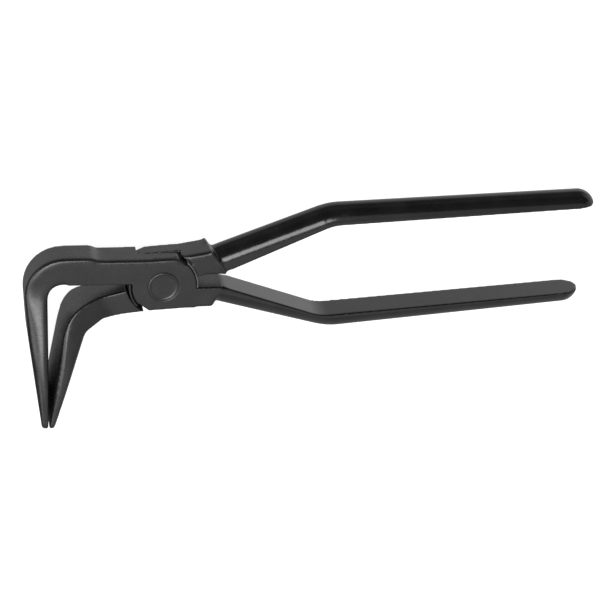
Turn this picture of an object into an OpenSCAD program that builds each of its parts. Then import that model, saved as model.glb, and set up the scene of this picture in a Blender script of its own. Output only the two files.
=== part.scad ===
// Roofing pliers with jaws bent down at a right angle, for folding sheet-metal seams.
// Two forged members cross in a half-lap joint on one flush rivet. Each member carries a wide
// flared jaw at its left end and a half-round handle, welded on, at its right end.
// Frame: origin on the pivot axis at the head's back face, +Z along the pivot axis to the front
// face, +X from the jaws to the handles, +Y away from the jaw tips. The jaws are drawn closed.

/* [Head] */
// Thickness of the head and width of both handles
head_t = 17; // [14:0.5:20]
// Radius of the round shoulders, concentric with the pivot, that face the lap plates
lap_r = 17.3; // [16.8:0.1:18]
// Gap between a shoulder and a lap plate
lap_gap = 1.3; // [0.8:0.1:1.5]
// Wider gap beside the front lap plate at the jaw end
lap_relief = 2.3; // [1.8:0.1:2.6]
// Gap between the two lap plates at the middle of the head
plate_gap = 0.06; // [0.04:0.01:0.2]
// Diameter of the rivet's flush heads
rivet_head_d = 15; // [14:0.5:18]
// Diameter of the rivet's shank
rivet_shank_d = 11; // [9:0.5:12]
// Depth of each countersunk rivet head
rivet_head_h = 3.2; // [2:0.2:4]
// Radial clearance between the rivet and the member that turns on it
rivet_play = 0.05; // [0.02:0.01:0.09]

/* [Upper jaw] */
// Height of the upper jaw arm's top edge above the pivot
arm_top = 14; // [13:0.5:15]
// Height of the upper jaw arm's lower edge above the pivot
arm_low = 1.5; // [1:0.25:3]
// Distance from the pivot to the upper gripping face
grip_x = 55.5; // [50:0.5:65]
// Distance from the pivot down to the jaw tips
jaw_drop = 69.5; // [55:0.5:80]
// Thickness of the upper jaw below the bend
jaw_root_t = 11; // [10:0.2:12]
// Thickness of the upper jaw at mid_drop
jaw_mid_t = 9.4; // [8:0.1:10]
// Distance from the pivot down to where the upper jaw has that thickness
mid_drop = 25; // [20:1:30]
// Thickness of the upper jaw at the tip
jaw_tip_t = 3; // [2:0.2:4]
// Radius of the bend on its outer side
bend_outer_r = 19; // [14:1:22]
// Radius of the bend on its inner side
bend_inner_r = 7; // [3:0.5:9]
// Extra height of the forging over the bend
bend_rise = 1.4; // [0.2:0.1:1.5]

/* [Blades] */
// Width of both jaw blades at the tip
blade_w = 44; // [30:1:50]
// Length over which a blade flares from the head's thickness to its full width
flare_len = 38; // [30:1:44]
// Radius of the blade's corners at the tip
blade_corner_r = 3; // [1:0.5:5]
// Gap between the closed jaw tips
tip_gap = 0.3; // [0.2:0.05:0.5]

/* [Lower jaw] */
// Thickness of the lower jaw at the tip
lower_tip_t = 2.2; // [2:0.2:4]
// Angle between the lower gripping face and the vertical
lower_grip_a = 8; // [7:0.5:12]
// Angle between the back of the lower jaw and the vertical
lower_back_a = 17.5; // [15:0.5:20]
// Height of the lower jaw arm's root below the pivot, at the lap
lower_arm_y = 1.7; // [1:0.1:2.5]
// Thickness of the lower jaw arm at the lap
lower_arm_t = 11.5; // [11:0.5:13]
// Downward slope of the lower jaw arm's inner edge, in degrees
lower_arm_slope = 14; // [10:0.5:18]
// Radius of the lower jaw's bend on its gripping side
lower_bend_r = 26; // [18:1:28]
// Distance from the gripping face back to the heel, where the lower edge of the arm turns down
heel_in = 26.5; // [25:0.5:28]
// Downward slope of the edge past the heel, in degrees
heel_slope = 32; // [28:1:36]

/* [Handles] */
// Length from the pivot to the tip of the upper handle
upper_len = 213; // [180:0.5:240]
// Length from the pivot to the tip of the lower handle
lower_len = 209; // [180:0.5:240]
// Height of the upper handle's half-round section where it leaves the head
upper_root_h = 12.4; // [11:0.1:13]
// Height of the lower handle's half-round section where it leaves the head
lower_root_h = 11; // [10:0.1:12]
// How far past its flat the lower handle's crown bends at the knee
crown_shift = 5; // [0:0.5:7]
// Height of the half-round section at the knee
handle_knee_h = 8.7; // [8:0.1:9.5]
// Height of the half-round section at the tip
handle_tip_h = 7; // [6.4:0.1:8]
// Distance from the pivot to the knees
knee_x = 80; // [70:1:95]
// Radius of the knee bend along the middle of the bar
knee_r = 22; // [16:1:30]
// Spread of the upper handle's slanted part, in degrees
upper_slant = 24.3; // [22:0.1:27]
// Rise of the upper grip, in degrees
upper_rise = 3.2; // [1:0.1:6]
// Drop of the lower handle's slanted part, in degrees
lower_slant = 19; // [16:0.1:22]
// Rise of the lower grip towards its tip, in degrees
lower_rise = 4.3; // [2:0.1:6]

/* [Hidden] */
$fn = 96;
steel = [0.19, 0.19, 0.2];
bar_black = [0.12, 0.12, 0.13];
rivet_steel = [0.24, 0.24, 0.25];
mid_z = head_t / 2;
cut = 60;
bar_r = head_t / 2;

// Points of a rounded corner at b between a and c, for a corner radius r
function unit(v) = v / norm(v);
function corner(a, b, c, r, n = 9) =
    let (u = unit(a - b), w = unit(c - b), half = acos(u * w) / 2)
    let (d = r / tan(half), m = b + unit(u + w) * r / sin(half), p = b + u * d, q = b + w * d)
    let (pa = atan2(p[1] - m[1], p[0] - m[0]), qa = atan2(q[1] - m[1], q[0] - m[0]))
    let (turn = (qa - pa + 540) % 360 - 180)
    r == 0 ? [b] : [for (i = [0:n]) m + r * [cos(pa + turn * i / n), sin(pa + turn * i / n)]];
// A closed outline from corners written as [x, y, radius]
function outline(k) = let (m = len(k)) [
    for (i = [0:m - 1], p = corner([k[(i + m - 1) % m][0], k[(i + m - 1) % m][1]],
        [k[i][0], k[i][1]], [k[(i + 1) % m][0], k[(i + 1) % m][1]], k[i][2])) p];
// Where the line through p at angle a meets the line through q at angle b
function meet(p, a, q, b) =
    p + [cos(a), sin(a)] * ((q[0] - p[0]) * sin(b) - (q[1] - p[1]) * cos(b)) / sin(b - a);
function on_circle(r, y) = sqrt(r * r - y * y);

// The upper jaw in side view. The tips' long edges have a radius that is a share of their thickness.
tip_round = 0.45;
step_run = 3.5;
step_r = 4;
belly_r = 60;
step_x = grip_x - 24.5;
bend_top = arm_top + bend_rise;
grip_top = [-grip_x, arm_low];
grip_tip = [-grip_x, -jaw_drop];
back_tip = [-grip_x - jaw_tip_t, -jaw_drop];
back_mid = [-grip_x - jaw_mid_t, -mid_drop];
back_top = [-grip_x - jaw_root_t, arm_low - bend_inner_r];
back_a = atan2(back_top[1] - back_mid[1], back_top[0] - back_mid[0]);
bend_corner = meet([0, bend_top], 0, back_mid, back_a);

// The lower jaw in side view
lower_edge_slope = 7;
heel_r = 3;
lower_back_r = 6;
low_tip = [-grip_x + tip_gap, -jaw_drop];
low_back_tip = [low_tip[0] + lower_tip_t, -jaw_drop];
arm_in = [-on_circle(lap_r, lower_arm_y), -lower_arm_y];
arm_out = [-on_circle(lap_r, lower_arm_y + lower_arm_t), -lower_arm_y - lower_arm_t];
low_bend_in = meet(arm_in, 180 + lower_arm_slope, low_tip, 90 - lower_grip_a);
heel = [heel_in - grip_x, arm_out[1] - (grip_x - heel_in + arm_out[0]) * tan(lower_edge_slope)];
low_bend_out = meet(heel, 180 + heel_slope, low_back_tip, 90 - lower_back_a);
// The lower jaw arm ends at a round shoulder struck a little off the pivot
arm_arc = [-1.4, 2.1, 0];
arm_arc_r = lap_r - 0.5;

// How each blade widens: the direction of the widening, where it starts and how it is rounded.
// The upper blade starts to widen at its arm's lower edge, so that the head's faces stay flat.
flare_start_r = 20;
flare_end_r = 90;
flare_slope = atan((blade_w / 2 - mid_z) / flare_len);
upper_flare_a = -90;
upper_flare_start = flare_start_r * tan(flare_slope / 2) - arm_low;
lower_flare_a = 217;
lower_flare_start = 26;

// The head's edges in side view, drawn past the seams that cut them
seam = -2;
head_low = -11.8;
tang_top = -1.1;
shoulder_low = 5.2;
front_plate = [[-cut / 2, arm_top], [seam, arm_top + 0.3], [9, arm_top + 0.8], [cut / 2, arm_top + 1.4],
    [cut / 2, head_low], [12, head_low + 0.2], [0, head_low - 0.5], [-6.6, head_low - 0.9],
    [-12.6, head_low + 3.6], [-cut / 2, 0]];
back_plate = [[-cut / 2, arm_top - 1.6], [-11.3, arm_top - 1.6], [-8.2, arm_top + 0.1],
    [0, arm_top + 0.8], [9, arm_top + 1.4], [cut / 2, arm_top + 4], [cut / 2, head_low - 0.3],
    [-11, head_low - 1.5], [-cut / 2, 0]];
tang = [[-seam, tang_top], [cut, tang_top], [cut, head_low - 0.1], [-seam, head_low + 0.2]];
shoulder = [[-seam, arm_top + 0.9], [9, arm_top + 1.4], [23, arm_top + 3.9], [cut, arm_top + 3.9],
    [cut, shoulder_low + 1.4], [16, shoulder_low], [-seam, shoulder_low]];
// The web that carries the back lap plate into the shoulder, clear of the tang below it
web_low = tang_top + 0.8;
web = [[0, shoulder_low + 1], [0, web_low], [on_circle(lap_r, web_low), web_low],
    [lap_r + 4, shoulder_low], [lap_r + 4, shoulder_low + 1]];

// The weld planes between the head and the handles: a point, the angle of the normal and its skew
upper_end = [22.6, 17.4];
upper_end_a = 31;
upper_end_skew = 6;
lower_end = [24.6, -11.9];
lower_end_a = -19.5;

// The handles' flat inner faces, at the root and at the knee; the lower one is drawn mirrored
upper_root = [31, 7.2];
upper_knee_x = knee_x + 2;
upper_knee = [upper_knee_x, upper_root[1] + (upper_knee_x - upper_root[0]) * tan(upper_slant)];
lower_root = [33.2, 2.3];
lower_knee_x = knee_x - 2;
lower_knee = [lower_knee_x, lower_root[1] + (lower_knee_x - lower_root[0]) * tan(lower_slant)];
// Length of bar drawn past the root, for the weld plane to cut
root_stock = 16;
// Step up from a handle's bend to the slanted bar's crown, and how far that bar runs into the bend
bend_step = 0.1;
bend_lap = 0.4;

// A prism of the given outline over a span of z
module slab(points, z0, z1) {
    translate([0, 0, z0])
        linear_extrude(height = z1 - z0) polygon(points);
}

// A disc about the pivot over a span of z
module disc(r, z0, z1) {
    translate([0, 0, z0])
        cylinder(r = r, h = z1 - z0);
}

// A front-view outline, in drop and half width, pushed through the jaw along the given direction
module blade_view(direction, points) {
    translate([0, 0, mid_z])
        rotate([0, 0, direction])
            rotate([90, 0, 0])
                linear_extrude(height = 4 * cut, center = true) polygon(points);
}

// The space inside a blade's flare, from the head's thickness to the full width
module flare(direction, start) {
    half = blade_w / 2;
    side = [[-3 * cut, mid_z, 0], [start, mid_z, flare_start_r],
        [start + flare_len, half, flare_end_r], [3 * cut, half, 0]];
    back = [for (i = [3:-1:0]) [side[i][0], -side[i][1], side[i][2]]];
    blade_view(direction, outline(concat(side, back)));
}

// The space above the blades' rounded tip corners
module blade_tip() {
    half = blade_w / 2;
    blade_view(-90, outline([[-cut, half, 0], [jaw_drop, half, blade_corner_r],
        [jaw_drop, -half, blade_corner_r], [-cut, -half, 0]]));
}

// The rivet, swollen by the given play to cut its bore and countersinks
module rivet_form(play) {
    head_r = rivet_head_d / 2 + play;
    shank_r = rivet_shank_d / 2 + play;
    disc(shank_r, 0, head_t);
    cylinder(r1 = head_r, r2 = shank_r, h = rivet_head_h);
    translate([0, 0, head_t - rivet_head_h])
        cylinder(r1 = shank_r, r2 = head_r, h = rivet_head_h);
}

// The region past a weld plane, on the handle's side
module past_end(point, normal_a, skew) {
    translate([point[0], point[1], mid_z])
        rotate([0, skew, normal_a])
            translate([0, -4 * cut, -cut]) cube([6 * cut, 8 * cut, 2 * cut]);
}

module upper_weld() {
    past_end(upper_end, upper_end_a, upper_end_skew);
}

module lower_weld() {
    past_end(lower_end, lower_end_a, 0);
}

// One member's lap plate: an outline kept inside one radius to the left and another to the right
module lap_plate(points, left_r, right_r, z0, z1) {
    intersection() {
        slab(points, z0, z1);
        union() {
            disc(min(left_r, right_r), z0, z1);
            intersection() {
                disc(max(left_r, right_r), z0, z1);
                translate([left_r > right_r ? -cut : 0, -cut, z0]) cube([cut, 2 * cut, z1 - z0]);
            }
        }
    }
}

module upper_jaw() {
    z_split = mid_z + plate_gap / 2;
    arm = outline([[seam, arm_top, 0], [-step_x, arm_top, step_r], [-step_x - step_run, bend_top, step_r],
        [bend_corner[0], bend_corner[1], bend_outer_r], [back_mid[0], back_mid[1], belly_r],
        [back_tip[0], back_tip[1], jaw_tip_t * tip_round], [grip_tip[0], grip_tip[1], jaw_tip_t * tip_round],
        [grip_top[0], grip_top[1], bend_inner_r], [seam, arm_low, 0]]);
    color(steel)
        difference() {
            union() {
                difference() {
                    intersection() {
                        slab(arm, mid_z - blade_w, mid_z + blade_w);
                        flare(upper_flare_a, upper_flare_start);
                        blade_tip();
                    }
                    disc(lap_r + lap_gap, -1, z_split);
                }
                lap_plate(front_plate, lap_r - lap_relief, lap_r - lap_gap, z_split, head_t);
                difference() {
                    slab(tang, 0, head_t);
                    disc(lap_r, -1, z_split);
                    lower_weld();
                }
            }
            rivet_form(0);
        }
}

module lower_jaw() {
    z_split = mid_z - plate_gap / 2;
    arm = outline([[seam, 0, 0], [arm_in[0], arm_in[1], 0], [low_bend_in[0], low_bend_in[1], lower_bend_r],
        [low_tip[0], low_tip[1], lower_tip_t * tip_round],
        [low_back_tip[0], low_back_tip[1], lower_tip_t * tip_round],
        [low_bend_out[0], low_bend_out[1], lower_back_r], [heel[0], heel[1], heel_r],
        [arm_out[0], arm_out[1], 0], [seam, head_low - 0.4, 0]]);
    color(steel)
        difference() {
            union() {
                difference() {
                    intersection() {
                        slab(arm, mid_z - blade_w, mid_z + blade_w);
                        flare(lower_flare_a, lower_flare_start);
                        blade_tip();
                    }
                    translate(arm_arc) disc(arm_arc_r, z_split, 2 * head_t);
                }
                lap_plate(back_plate, lap_r - 0.3, lap_r - lap_gap, 0, z_split);
                slab(web, 0, z_split);
                difference() {
                    slab(shoulder, 0, head_t);
                    disc(lap_r, z_split, 2 * head_t);
                    upper_weld();
                }
            }
            rivet_form(rivet_play);
        }
}

// Half of a handle bar's section: a quarter of the crown over a square wall
module half_section(crown_r = bar_r) {
    intersection() {
        circle(r = crown_r);
        square([bar_r, crown_r]);
    }
    translate([0, -bar_r]) square([bar_r, bar_r]);
}

// The whole section, with its crown up
module bar_section(crown_r = bar_r) {
    half_section(crown_r);
    mirror([1, 0]) half_section(crown_r);
}

// A straight bar along X, with its crown towards +Y
module bar(length, crown_r = bar_r) {
    rotate([0, 90, 0])
        linear_extrude(height = length) bar_section(crown_r);
}

// The rounded end of a bar, ending on the YZ plane
module bar_end() {
    rotate([-90, 0, 0])
        rotate([0, 0, -90])
            rotate_extrude(angle = 180) half_section();
}

// A bent handle, crowned upwards, whose flat face runs from root over knee to the tip. It is laid
// out from the centre of the knee bend, and its height changes because the bars lean to the flat.
module handle_bar(root, knee, slant, rise, root_h, crown_shift, reach) {
    n1 = [-sin(slant), cos(slant)];
    n2 = [-sin(rise), cos(rise)];
    flat_tip = knee + [1, tan(rise)] * (reach - bar_r - knee[0]);
    start = root + n1 * (root_h - bar_r) - [cos(slant), sin(slant)] * root_stock;
    bend = knee + [1, tan(rise)] * crown_shift + unit(n1 + n2) * (handle_knee_h - bar_r);
    end = flat_tip + n2 * (handle_tip_h - bar_r);
    a1 = atan2(bend[1] - start[1], bend[0] - start[0]);
    a2 = atan2(end[1] - bend[1], end[0] - bend[0]);
    run = knee_r * tan((a1 - a2) / 2);
    centre = bend + [cos(a2), sin(a2)] * run + [sin(a2), -cos(a2)] * knee_r;
    grip = norm(end - bend) - run;
    shank = norm(bend - start) - run;
    low = knee[1] - cut;
    inside = outline([[start[0] - root_stock, low, 0],
        [root[0] - cos(slant) * 2 * root_stock, root[1] - sin(slant) * 2 * root_stock, 0],
        [knee[0], knee[1], knee_r], [flat_tip[0] + head_t, flat_tip[1] + head_t * tan(rise), 0],
        [flat_tip[0] + head_t, low, 0]]);
    difference() {
        translate([centre[0], centre[1], mid_z])
            rotate([0, 0, a2]) {
                translate([0, knee_r, 0]) bar(grip);
                translate([grip, knee_r, 0]) bar_end();
                rotate([0, 0, 90])
                    rotate_extrude(angle = a1 - a2)
                        translate([knee_r, 0]) rotate(-90) bar_section();
                rotate([0, 0, a1 - a2])
                    translate([-shank, knee_r, 0]) bar(shank + bend_lap, bar_r + bend_step);
            }
        slab(inside, -1, head_t + 1);
    }
}

module upper_handle() {
    color(bar_black)
        intersection() {
            handle_bar(upper_root, upper_knee, upper_slant, upper_rise, upper_root_h, 0, upper_len);
            upper_weld();
        }
}

module lower_handle() {
    color(bar_black)
        intersection() {
            mirror([0, 1, 0])
                handle_bar(lower_root, lower_knee, lower_slant, -lower_rise, lower_root_h, crown_shift,
                    lower_len);
            lower_weld();
        }
}

module pivot_rivet() {
    color(rivet_steel) rivet_form(0);
}

upper_jaw();
lower_jaw();
upper_handle();
lower_handle();
pivot_rivet();
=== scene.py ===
"""Looks for the roofing pliers: forged and rounded pieces, black finish, plain studio."""
import math

import bmesh
import bpy
import numpy as np
from mathutils import Matrix, Vector
from mathutils.bvhtree import BVHTree


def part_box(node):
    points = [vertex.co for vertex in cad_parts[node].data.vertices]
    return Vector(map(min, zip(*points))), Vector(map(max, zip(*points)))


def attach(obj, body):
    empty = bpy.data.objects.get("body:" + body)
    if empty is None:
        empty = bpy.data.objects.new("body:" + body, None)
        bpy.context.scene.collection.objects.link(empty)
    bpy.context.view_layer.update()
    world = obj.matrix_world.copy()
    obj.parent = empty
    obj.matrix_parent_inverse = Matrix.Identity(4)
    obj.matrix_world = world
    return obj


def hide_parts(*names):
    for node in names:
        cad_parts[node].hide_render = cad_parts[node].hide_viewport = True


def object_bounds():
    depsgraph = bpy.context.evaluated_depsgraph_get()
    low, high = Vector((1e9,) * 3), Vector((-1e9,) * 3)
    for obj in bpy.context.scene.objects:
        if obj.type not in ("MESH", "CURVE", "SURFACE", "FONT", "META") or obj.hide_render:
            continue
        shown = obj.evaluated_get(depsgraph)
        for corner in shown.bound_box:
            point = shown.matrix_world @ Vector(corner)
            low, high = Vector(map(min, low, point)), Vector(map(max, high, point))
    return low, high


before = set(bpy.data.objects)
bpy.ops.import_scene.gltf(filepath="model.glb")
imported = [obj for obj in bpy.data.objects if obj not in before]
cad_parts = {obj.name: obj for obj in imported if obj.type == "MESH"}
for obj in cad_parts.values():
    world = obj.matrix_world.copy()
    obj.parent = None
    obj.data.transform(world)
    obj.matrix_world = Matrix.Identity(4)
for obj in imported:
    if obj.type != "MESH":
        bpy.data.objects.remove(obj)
cad_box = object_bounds()
MM = 0.001
scene = bpy.context.scene
scene.view_settings.view_transform = "Standard"

# Sizes from the frame
HEAD_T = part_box("pivot_rivet")[1].z     # thickness of the head, in which the rivet ends flush
MID_Z = HEAD_T / 2
TIP_Y = cad_box[0].y                    # jaw tips, below the pivot
BLADE_LOW_Z = cad_box[0].z              # back edges of the blades, which rest on the floor

# Sizes repeated from the CAD source
ARM_TOP = 14 * MM           # top of the upper jaw's arm, above the pivot
LAP_R = 17.3 * MM           # round shoulders of the lap joint

# How a jaw and its welded handle are rounded
VOXEL = 0.35 * MM           # size of the even facets that they are rebuilt in
SMOOTH_STEPS = 90           # passes of smoothing
KEEP = 0.3                  # share of the facets that stay in the end
WELD_FADE = 5 * MM          # how far along the handle the rounding of the weld dies out
BEAD_AT = 0.3 * MM          # middle of the weld bead, on the head's side of the weld plane
BEAD_WIDTH = 1.1 * MM       # half width of the weld bead
LOWER_BEND = {"centre": (-43 * MM, -12 * MM), "reach": 9 * MM, "lift": 1.4 * MM,
              "towards": (-0.6, 0.8, 0.0)}

# Sections of the ribs in the lap joint's grooves: (radius, height) in millimetres
LEFT_RIB = [(15.5, 8.8), (16.7, 8.8), (16.7, 16.1), (16.6, 16.35), (16.35, 16.5), (15.8, 16.4),
            (15.5, 16.1)]
RIGHT_RIB = [(16.3, 8.2), (17.2, 8.2), (17.2, 16.2), (17.12, 16.5), (16.95, 16.66),
             (16.75, 16.72), (16.55, 16.66), (16.38, 16.5), (16.3, 16.2)]

# Camera at the photograph's viewing angle, seen square on with no shift
CAMERA_PLACE = Vector((-139.8, 518.6, 1099.8)) * MM
CAMERA_LOOK = Vector((0.17248, -0.43414, -0.88418))
CAMERA_UP = Vector((0.02326, 0.89918, -0.43697))
CAMERA_LENS = 146.4         # focal length in millimetres
CAMERA_SENSOR = 36.0        # sensor width in millimetres

# Softboxes aimed at the tool's middle: name, place, width, height, power in watts
LIGHT_AIM = (0.05, -0.02, 0.0)
SOFTBOXES = [
    ("softbox_top", (0.05, -0.6, 1.4), 1.6, 1.0, 2.25),
    ("softbox_key", (-0.2, 0.28, 0.95), 0.64, 0.38, 6.0),
    ("softbox_fill", (-0.2, -0.02, 1.0), 0.64, 0.22, 0.9),
    ("softbox_left", (-0.85, 0.05, 0.6), 0.5, 0.6, 2.8),
    ("softbox_side", (-0.85, -0.55, 0.8), 0.3, 0.4, 1.1),
    ("softbox_jaws", (-0.44, -0.12, 0.95), 0.24, 0.5, 1.3),
]
SKY_STRENGTH = 0.55

# Sockets of the Mix node, by number because its kinds of value share their names
COLOUR_A, COLOUR_B, COLOUR_OUT = 6, 7, 2
NUMBER_A, NUMBER_B, NUMBER_OUT = 2, 3, 0


# Objects
def link_object(name, data):
    obj = bpy.data.objects.new(name, data)
    scene.collection.objects.link(obj)
    return obj


def object_from(bm, name):
    """Turns bm into a new object in the scene."""
    mesh = bpy.data.meshes.new(name)
    bm.to_mesh(mesh)
    bm.free()
    return link_object(name, mesh)


def add_camera():
    cam = bpy.data.cameras.new("camera")
    cam.sensor_width = CAMERA_SENSOR
    cam.lens = CAMERA_LENS
    cam.clip_end = 20.0
    obj = link_object("camera", cam)
    look = CAMERA_LOOK.normalized()
    right = look.cross(CAMERA_UP).normalized()
    place = Matrix((right, right.cross(look), -look)).transposed().to_4x4()
    place.translation = CAMERA_PLACE
    obj.matrix_world = place
    scene.camera = obj


# Materials
def new_material(name):
    mat = bpy.data.materials.new(name)
    mat.use_nodes = True
    tree = mat.node_tree
    tree.nodes.clear()
    out = tree.nodes.new("ShaderNodeOutputMaterial")
    bsdf = tree.nodes.new("ShaderNodeBsdfPrincipled")
    tree.links.new(bsdf.outputs["BSDF"], out.inputs["Surface"])
    return mat, tree, bsdf


def noise(tree, coords, scale, detail, rough):
    node = tree.nodes.new("ShaderNodeTexNoise")
    node.inputs["Scale"].default_value = scale
    node.inputs["Detail"].default_value = detail
    node.inputs["Roughness"].default_value = rough
    tree.links.new(coords, node.inputs["Vector"])
    return node.outputs["Fac"]


def ramp(tree, value, low, high, a, b):
    """Maps value from low..high to a..b, and keeps it within them."""
    node = tree.nodes.new("ShaderNodeMapRange")
    node.inputs["From Min"].default_value = low
    node.inputs["From Max"].default_value = high
    node.inputs["To Min"].default_value = a
    node.inputs["To Max"].default_value = b
    tree.links.new(value, node.inputs["Value"])
    return node.outputs["Result"]


def mix_colour(tree, fac, a, b):
    """Mixes two colours, each of them three numbers or a socket."""
    node = tree.nodes.new("ShaderNodeMix")
    node.data_type = "RGBA"
    tree.links.new(fac, node.inputs["Factor"])
    for socket, value in ((node.inputs[COLOUR_A], a), (node.inputs[COLOUR_B], b)):
        if isinstance(value, tuple):
            socket.default_value = (*value, 1.0)
        else:
            tree.links.new(value, socket)
    return node.outputs[COLOUR_OUT]


def combine(tree, operation, a, b):
    node = tree.nodes.new("ShaderNodeMath")
    node.operation = operation
    tree.links.new(a, node.inputs[0])
    tree.links.new(b, node.inputs[1])
    return node.outputs[0]


def multiply(tree, a, b):
    return combine(tree, "MULTIPLY", a, b)


def add(tree, a, b):
    return combine(tree, "ADD", a, b)


def bump(tree, height, strength, distance):
    node = tree.nodes.new("ShaderNodeBump")
    node.inputs["Strength"].default_value = strength
    node.inputs["Distance"].default_value = distance
    tree.links.new(height, node.inputs["Height"])
    return node


def black_steel(name, dark, light, wear_and_highlight, rough, spread, pits, edge_low=0.52, edge_high=0.6):
    """Blackened steel: cloudy oxide, worn edges, uneven gloss and a fine forged skin; where the
    edge colour is light, as on the rivet and the rib, it is also a painted highlight.
    """
    mat, tree, bsdf = new_material(name)
    coords = tree.nodes.new("ShaderNodeTexCoord").outputs["Object"]
    cloud = noise(tree, coords, 90.0, 5.0, 0.55)
    fine = noise(tree, coords, 900.0, 6.0, 0.6)
    skin = noise(tree, coords, 420.0, 3.0, 0.5)
    body = mix_colour(tree, ramp(tree, cloud, 0.35, 0.65, 0.0, 1.0), dark, light)
    point = tree.nodes.new("ShaderNodeNewGeometry").outputs["Pointiness"]
    edges = ramp(tree, point, edge_low, edge_high, 0.0, 1.0)
    # Edge mask: worn edges, and a painted highlight where the edge colour is light
    rub_and_highlight = multiply(tree, edges, ramp(tree, fine, 0.3, 0.7, 0.3, 1.0))
    tree.links.new(mix_colour(tree, rub_and_highlight, body, wear_and_highlight), bsdf.inputs["Base Color"])
    gloss = ramp(tree, skin, 0.3, 0.7, rough - spread, rough + spread)
    tree.links.new(gloss, bsdf.inputs["Roughness"])
    coarse = bump(tree, skin, 0.5, pits)
    grain = bump(tree, fine, 0.35, pits * 0.4)
    tree.links.new(coarse.outputs["Normal"], grain.inputs["Normal"])
    tree.links.new(grain.outputs["Normal"], bsdf.inputs["Normal"])
    bsdf.inputs["Specular IOR Level"].default_value = 0.45
    return mat


forged = black_steel("forged_steel", dark=(0.008, 0.008, 0.0085), light=(0.014, 0.014, 0.0145),
                     wear_and_highlight=(0.02, 0.02, 0.0205), rough=0.28, spread=0.04, pits=0.00004,
                     edge_low=0.56, edge_high=0.68)
bar_steel = black_steel("handle_steel", dark=(0.006, 0.006, 0.0065), light=(0.010, 0.010, 0.0105),
                        wear_and_highlight=(0.02, 0.02, 0.021), rough=0.17, spread=0.03, pits=0.00006)
# The rivet's edge colour is far lighter than the forgings': on its rolled rim it is worn steel and
# a painted highlight of the ring.
rivet_steel = black_steel("rivet_steel", dark=(0.009, 0.009, 0.0095), light=(0.015, 0.015, 0.0155),
                          wear_and_highlight=(0.09, 0.09, 0.092), rough=0.28, spread=0.05, pits=0.00005)
# A light steel for the right groove's rib: its colour is a painted highlight along the shoulder's
# edge, which the lamps leave in shade.
rib_highlight = black_steel("painted_highlight_steel", dark=(0.05, 0.05, 0.051), light=(0.09, 0.09, 0.092),
                     wear_and_highlight=(0.16, 0.16, 0.163), rough=0.35, spread=0.05, pits=0.00004)


# Jaws and handles: rebuilt from the CAD nodes in even facets, then rounded like forgings
def baked(obj, kind, values):
    """Replaces obj's mesh by the result of one modifier."""
    modifier = obj.modifiers.new(kind.lower(), kind)
    for key, value in values.items():
        setattr(modifier, key, value)
    graph = bpy.context.evaluated_depsgraph_get()
    graph.update()
    mesh = bpy.data.meshes.new_from_object(obj.evaluated_get(graph))
    obj.modifiers.clear()
    obj.data = mesh


def welded_copy(nodes):
    """One new object around CAD nodes that are welded together, in even small facets."""
    bm = bmesh.new()
    for node in nodes:
        bm.from_mesh(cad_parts[node].data)
    bmesh.ops.remove_doubles(bm, verts=bm.verts, dist=1e-6)
    obj = object_from(bm, "member")
    baked(obj, "REMESH", {"mode": "VOXEL", "voxel_size": VOXEL})
    return obj


def read_vectors(items, key):
    values = np.empty(len(items) * 3, dtype=np.float32)
    items.foreach_get(key, values)
    return values.reshape(-1, 3).astype(np.float64)


def get_points(mesh):
    return read_vectors(mesh.vertices, "co")


def get_normals(mesh):
    return read_vectors(mesh.vertex_normals, "vector")


def set_points(mesh, points):
    mesh.vertices.foreach_set("co", points.astype(np.float32).ravel())
    mesh.update()


def ease(t):
    t = np.clip(t, 0.0, 1.0)
    return t * t * (3 - 2 * t)


def blade_sections(node, top):
    """Left, right and front limits of a blade, at even heights from its tip up to top.

    They are where rays meet the CAD node: one from its left, on through it, and one from before."""
    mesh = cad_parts[node].data
    faces = [tuple(p.vertices) for p in mesh.polygons]
    tree = BVHTree.FromPolygons([v.co for v in mesh.vertices], faces)
    above_tip, step, inside = 0.6 * MM, 0.5 * MM, 0.05 * MM
    outer_left, outer_front = -0.3, 0.1
    heights = np.arange(TIP_Y + above_tip, top, step)
    across, down = Vector((1, 0, 0)), Vector((0, 0, -1))
    rows = []
    for y in heights:
        left = tree.ray_cast(Vector((outer_left, y, MID_Z)), across)[0].x
        right = tree.ray_cast(Vector((left + inside, y, MID_Z)), across)[0].x
        front = tree.ray_cast(Vector(((left + right) / 2, y, outer_front)), down)[0].z
        rows.append((left, right, front))
    return heights, np.array(rows)


def crown_blade(mesh, node, top, run, left_crown, right_crown):
    """Lowers a blade's front and back faces towards its long edges, along an arc.

    The crown starts at the height top and is full after run. Each crown is the share of the
    blade's width that slopes and the slope at its edge, in degrees."""
    points = get_points(mesh)
    heights, rows = blade_sections(node, top)
    x, y, z = points[:, 0], points[:, 1], points[:, 2] - MID_Z
    left, right, front = (np.interp(y, heights, rows[:, i]) for i in range(3))
    width, depth = right - left, front - MID_Z
    blade = (y < top) & (x > left - MM) & (x < right + MM)
    grow = np.where(blade, ease((top - y) / run), 0.0)
    for inside, (share, slope) in ((x - left, left_crown), (right - x, right_crown)):
        reach = share * width
        radius = reach / math.sin(math.radians(slope))
        short = np.clip(reach - inside, 0.0, reach)
        drop = radius - np.sqrt(radius ** 2 - short ** 2)
        z = z * (1 - grow * drop / depth)
    set_points(mesh, np.stack((x, y, MID_Z + z), axis=1))


def swell_bend(mesh, centre, reach, lift, towards):
    """Fills out the upper side of a bend around centre, by lift in the direction towards.

    Faces within about 53 degrees of that direction move in full, and the rest less or not."""
    full_from = 0.6
    towards = np.array(towards)
    points = get_points(mesh)
    away = np.hypot(points[:, 0] - centre[0], points[:, 1] - centre[1]) / reach
    facing = ease((get_normals(mesh) @ towards) / full_from)
    move = lift * np.exp(-away ** 2) * facing
    set_points(mesh, points + move[:, None] * towards)


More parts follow.
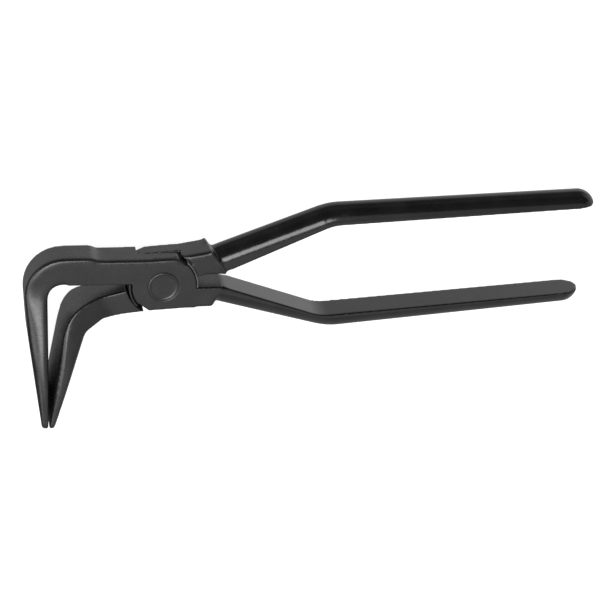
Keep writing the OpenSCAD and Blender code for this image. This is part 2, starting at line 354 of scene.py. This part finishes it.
def weld_plane(node):
    """The flat end of a handle against the head: a point on it and its normal to the handle."""
    faces = [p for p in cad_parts[node].data.polygons if p.normal.x < -0.7]
    end = max(faces, key=lambda p: p.area)
    return end.center.copy(), -end.normal


def past_weld(points, weld):
    """How far each point lies past the weld plane, on the handle's side."""
    return (points - np.array(weld[0])) @ np.array(weld[1])


def softness(points, weld, jaw):
    """How much each place is rounded, from 0 to 1: arms and bends most, the lap joint least."""
    x, y, z = points.T
    # Blades, sharper towards their tips
    tipward = np.clip((y - TIP_Y) / (30 * MM), 0.05, 1.0)
    soft = np.where(x < -20 * MM, tipward, 1.0)
    # Edges along the narrow throat between the two arms
    under_arm = (x > -46 * MM) & (y > -12 * MM) & (y < 5 * MM) & ((z < 6 * MM) | (y > 0))
    soft = np.where(under_arm, 0.05, soft)
    if jaw == "lower_jaw":
        # Front edges of the arm and bend, crisp at the joint and soft on the blade
        bend_edge = (z > 9 * MM) & (x > -56 * MM) & (x < 0)
        sharp = np.interp(y, (-34 * MM, -20 * MM), (1.0, 0.15))
        soft = np.where(bend_edge, np.minimum(soft, sharp), soft)
    # Lap joint: sharp, a little less so below, and soft only in its outer edges at the top
    near = np.hypot(x, y) < LAP_R + 2.4 * MM
    face = np.abs(z - MID_Z) > MID_Z - 3 * MM
    soft = np.where(near & (y <= -9 * MM), 0.1, soft)
    soft = np.where(near & (y > -9 * MM) & ((y < ARM_TOP - 3 * MM) | ~face), 0.02, soft)
    # Jaw tips
    soft = np.where(y < TIP_Y + 3 * MM, 0.12, soft)
    # Back edges of arms and head, which draw the outline from the camera
    back_edge = (z < 5 * MM) & (y > -20 * MM)
    soft = np.where(back_edge, np.minimum(soft, 0.12), soft)
    # Notch in the top outline, left of the pivot
    notch = (np.abs(x + 14 * MM) < 4 * MM) & (y > 11 * MM) & (z < 14 * MM)
    soft = np.where(notch, 0.04, soft)
    # Upper edge of the tang, under the right lap gap
    tang_edge = (x > 16 * MM) & (y > -6 * MM) & (y < 4 * MM)
    soft = np.where(tang_edge, 0.12, soft)
    # Handles: soft in front, sharp behind, and rounded in full at the weld
    past = past_weld(points, weld)
    bar = np.where(z > MID_Z, 0.22, 0.03)
    return np.where(past > 0, np.maximum(bar, 1.0 - past / WELD_FADE), soft)


def relax(obj, weights):
    """Smooths obj's mesh as far as weights, from 0 to 1 for each vertex, let it."""
    group = obj.vertex_groups.new(name="soft")
    for i, weight in enumerate(weights):
        group.add([i], weight, "REPLACE")
    baked(obj, "SMOOTH", {"factor": 0.9, "iterations": SMOOTH_STEPS, "vertex_group": "soft"})
    obj.vertex_groups.clear()


def raise_bead(mesh, weld, height):
    """Raises a weld bead all round the weld plane."""
    points = get_points(mesh)
    away = (past_weld(points, weld) + BEAD_AT) / BEAD_WIDTH
    swell = height * np.exp(-away ** 2)
    set_points(mesh, points + get_normals(mesh) * swell[:, None])


def half(mesh, name, weld, handle_side):
    """The part of a mesh on one side of its weld plane, closed again by a flat face."""
    bm = bmesh.new()
    bm.from_mesh(mesh)
    geom = bm.verts[:] + bm.edges[:] + bm.faces[:]
    bmesh.ops.bisect_plane(bm, geom=geom, plane_co=weld[0], plane_no=weld[1],
                           clear_inner=handle_side, clear_outer=not handle_side)
    for f in bm.faces:
        f.smooth = True
    rim = [e for e in bm.edges if e.is_boundary]
    for e in rim:
        e.smooth = False
    for f in bmesh.ops.holes_fill(bm, edges=rim)["faces"]:
        f.smooth = False
    bmesh.ops.triangulate(bm, faces=[f for f in bm.faces if len(f.verts) > 4])
    bmesh.ops.recalc_face_normals(bm, faces=bm.faces)
    return object_from(bm, name)


def member(jaw, handle, top, run, left_crown, right_crown, bend=None, bead=0.0):
    """A jaw and its welded handle: rounded as one body, then cut apart at the weld."""
    weld = weld_plane(handle)
    obj = welded_copy((jaw, handle))
    crown_blade(obj.data, jaw, top, run, left_crown, right_crown)
    if bend:
        swell_bend(obj.data, **bend)
    relax(obj, softness(get_points(obj.data), weld, jaw))
    raise_bead(obj.data, weld, bead)
    baked(obj, "DECIMATE", {"ratio": KEEP})
    pieces = (half(obj.data, jaw + "_forging", weld, False),
              half(obj.data, handle + "_bar", weld, True))
    bpy.data.objects.remove(obj)
    return pieces


# Small turned and curved pieces
def arc_bar(name, profile, start, end, steps=30):
    """A closed bar along an arc about the pivot, from start to end in degrees.

    profile is a ring of (radius, height) in millimetres."""
    bm = bmesh.new()
    rings = []
    for i in range(steps + 1):
        a = math.radians(start + (end - start) * i / steps)
        rings.append([bm.verts.new((r * math.cos(a) * MM, r * math.sin(a) * MM, z * MM))
                      for r, z in profile])
    bm.faces.new(rings[0])
    bm.faces.new(rings[-1][::-1])
    for low, high in zip(rings, rings[1:]):
        for i in range(len(profile)):
            j = (i + 1) % len(profile)
            bm.faces.new((low[i], high[i], high[j], low[j])).smooth = True
    bmesh.ops.recalc_face_normals(bm, faces=bm.faces)
    return object_from(bm, name)


def lathe(name, profile, turns=96):
    """A closed solid of revolution about Z.

    profile is (radius, height) pairs that start and end on the axis."""
    bm = bmesh.new()
    angles = [2 * math.pi * i / turns for i in range(turns)]
    rings = []
    for r, z in profile:
        if r == 0:
            rings.append([bm.verts.new((0, 0, z))])
        else:
            rings.append([bm.verts.new((r * math.cos(a), r * math.sin(a), z)) for a in angles])
    for low, high in zip(rings, rings[1:]):
        for i in range(turns):
            j = (i + 1) % turns
            if len(low) == 1:
                bm.faces.new((low[0], high[j], high[i]))
            elif len(high) == 1:
                bm.faces.new((low[i], low[j], high[0]))
            else:
                bm.faces.new((low[i], low[j], high[j], high[i]))
    bmesh.ops.recalc_face_normals(bm, faces=bm.faces)
    for f in bm.faces:
        f.smooth = True
    return object_from(bm, name)


def rivet_profile():
    """Half of the rivet's outline: flush heads with a raised rolled rim, on a straight shank.

    The numbers are (radius, depth below the head's face) in millimetres."""
    head = [(0, 0.0), (4.0, 0.0), (5.7, 0.0), (6.0, -0.06), (6.35, -0.21), (6.6, -0.3),
            (6.8, -0.32), (7.0, -0.3), (7.2, -0.2), (7.4, -0.06), (7.5, 0.02), (7.5, 0.4)]
    shank = [(5.5, 3.2)]
    bottom = [(r * MM, z * MM) for r, z in head + shank]
    top = [(r * MM, HEAD_T - z * MM) for r, z in reversed(head + shank)]
    return bottom + top


def dress(obj, body, mat, node=None):
    """Gives a piece its material and body, and hides the CAD node that it stands for if it has one.
    """
    obj.data.materials.clear()
    obj.data.materials.append(mat)
    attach(obj, body)
    if node:
        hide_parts(node)


# The pieces
front, lower = member("upper_jaw", "lower_handle", top=4 * MM, run=32 * MM,
                      left_crown=(0.8, 42), right_crown=(0.15, 30))
back, upper = member("lower_jaw", "upper_handle", top=-12 * MM, run=14 * MM,
                     left_crown=(0.35, 45), right_crown=(0.15, 30), bend=LOWER_BEND,
                     bead=0.5 * MM)
# The left rib stands beside the front lap plate's cut-away corner, and the light one in the right
# groove, on the back member's web, where its light colour is a painted highlight along the
# shoulder's edge
left_rib = arc_bar("left_groove_rib", LEFT_RIB, start=176, end=219)
right_rib = arc_bar("right_groove_rib", RIGHT_RIB, start=-3, end=46)
rivet = lathe("pivot_rivet_piece", rivet_profile())

dress(left_rib, "front_member", forged)
dress(right_rib, "back_member", rib_highlight)
dress(front, "front_member", forged, "upper_jaw")
dress(lower, "front_member", bar_steel, "lower_handle")
dress(back, "back_member", forged, "lower_jaw")
dress(upper, "back_member", bar_steel, "upper_handle")
dress(rivet, "front_member", rivet_steel, "pivot_rivet")


# Stage
def add_floor():
    """A pale floor that no surface mirrors, so that the dark outlines stay dark."""
    mat, _, bsdf = new_material("pale_floor")
    bsdf.inputs["Base Color"].default_value = (0.3, 0.3, 0.3, 1.0)
    bsdf.inputs["Roughness"].default_value = 0.9
    bsdf.inputs["Emission Color"].default_value = (1.0, 1.0, 1.0, 1.0)
    bsdf.inputs["Emission Strength"].default_value = 0.9
    bm = bmesh.new()
    bmesh.ops.create_grid(bm, x_segments=2, y_segments=2, size=4.0)
    floor = object_from(bm, "floor")
    floor.location = (0, 0, BLADE_LOW_Z)
    floor.visible_glossy = False
    floor.data.materials.append(mat)


def add_softbox(name, place, width, height, power):
    data = bpy.data.lights.new(name, "AREA")
    data.shape = "RECTANGLE"
    data.size = width
    data.size_y = height
    data.energy = power
    obj = link_object(name, data)
    place = Vector(place)
    obj.rotation_euler = (Vector(LIGHT_AIM) - place).to_track_quat("-Z", "Y").to_euler()
    obj.location = place
    obj.visible_camera = False


def add_flag(name, low, high):
    """A dark card beside the set, which the black finish mirrors and no camera sees."""
    mat, _, bsdf = new_material(name)
    bsdf.inputs["Base Color"].default_value = (0.01, 0.01, 0.01, 1.0)
    bsdf.inputs["Roughness"].default_value = 1.0
    bsdf.inputs["Specular IOR Level"].default_value = 0.0
    mesh = bpy.data.meshes.new(name)
    (x0, y0, z0), (x1, y1, z1) = low, high
    corners = [(x0, y0, z0), (x1, y1, z0), (x1, y1, z1), (x0, y0, z1)]
    mesh.from_pydata(corners, [], [(0, 1, 2, 3)])
    mesh.materials.append(mat)
    card = link_object(name, mesh)
    card.visible_camera = False
    card.visible_shadow = False


def add_world():
    """An even sky over a dark lower world, which the steel mirrors because it mirrors no floor.

    The lower world is lighter straight down, where the top faces seen in the photograph mirror
    it, and to the right and before, where the other sides do."""
    world = bpy.data.worlds.new("studio")
    scene.world = world
    world.use_nodes = True
    tree = world.node_tree
    split = tree.nodes.new("ShaderNodeSeparateXYZ")
    tree.links.new(tree.nodes.new("ShaderNodeTexCoord").outputs["Generated"], split.inputs[0])
    x, y, z = (split.outputs[axis] for axis in "XYZ")
    behind = ramp(tree, y, -0.45, 0.25, 0.2, 0.6)
    deep = ramp(tree, z, -0.6, -0.75, 0.15, 1.0)
    right = ramp(tree, x, 0.15, 0.4, 1.0, 1.7)
    straight_down = multiply(tree, multiply(tree, behind, deep), right)
    shallow = ramp(tree, z, -0.75, -0.5, 0.0, 1.0)
    beside = ramp(tree, x, 0.35, 0.75, 0.0, 0.6)
    before = ramp(tree, y, -0.4, -0.8, 0.0, 0.4)
    sideways = multiply(tree, shallow, add(tree, beside, before))
    blend = tree.nodes.new("ShaderNodeMix")
    tree.links.new(ramp(tree, z, -0.1, 0.1, 0.0, 1.0), blend.inputs["Factor"])
    tree.links.new(add(tree, straight_down, sideways), blend.inputs[NUMBER_A])
    blend.inputs[NUMBER_B].default_value = SKY_STRENGTH
    background = tree.nodes["Background"]
    background.inputs["Color"].default_value = (1.0, 1.0, 1.0, 1.0)
    tree.links.new(blend.outputs[NUMBER_OUT], background.inputs["Strength"])


add_camera()
add_floor()
add_world()
for softbox in SOFTBOXES:
    add_softbox(*softbox)
add_flag("flag_back", (-2.0, 0.9, -0.01), (2.0, 0.9, 1.25))
add_flag("flag_left", (-1.0, -1.2, -0.01), (-1.0, 0.6, 0.4))
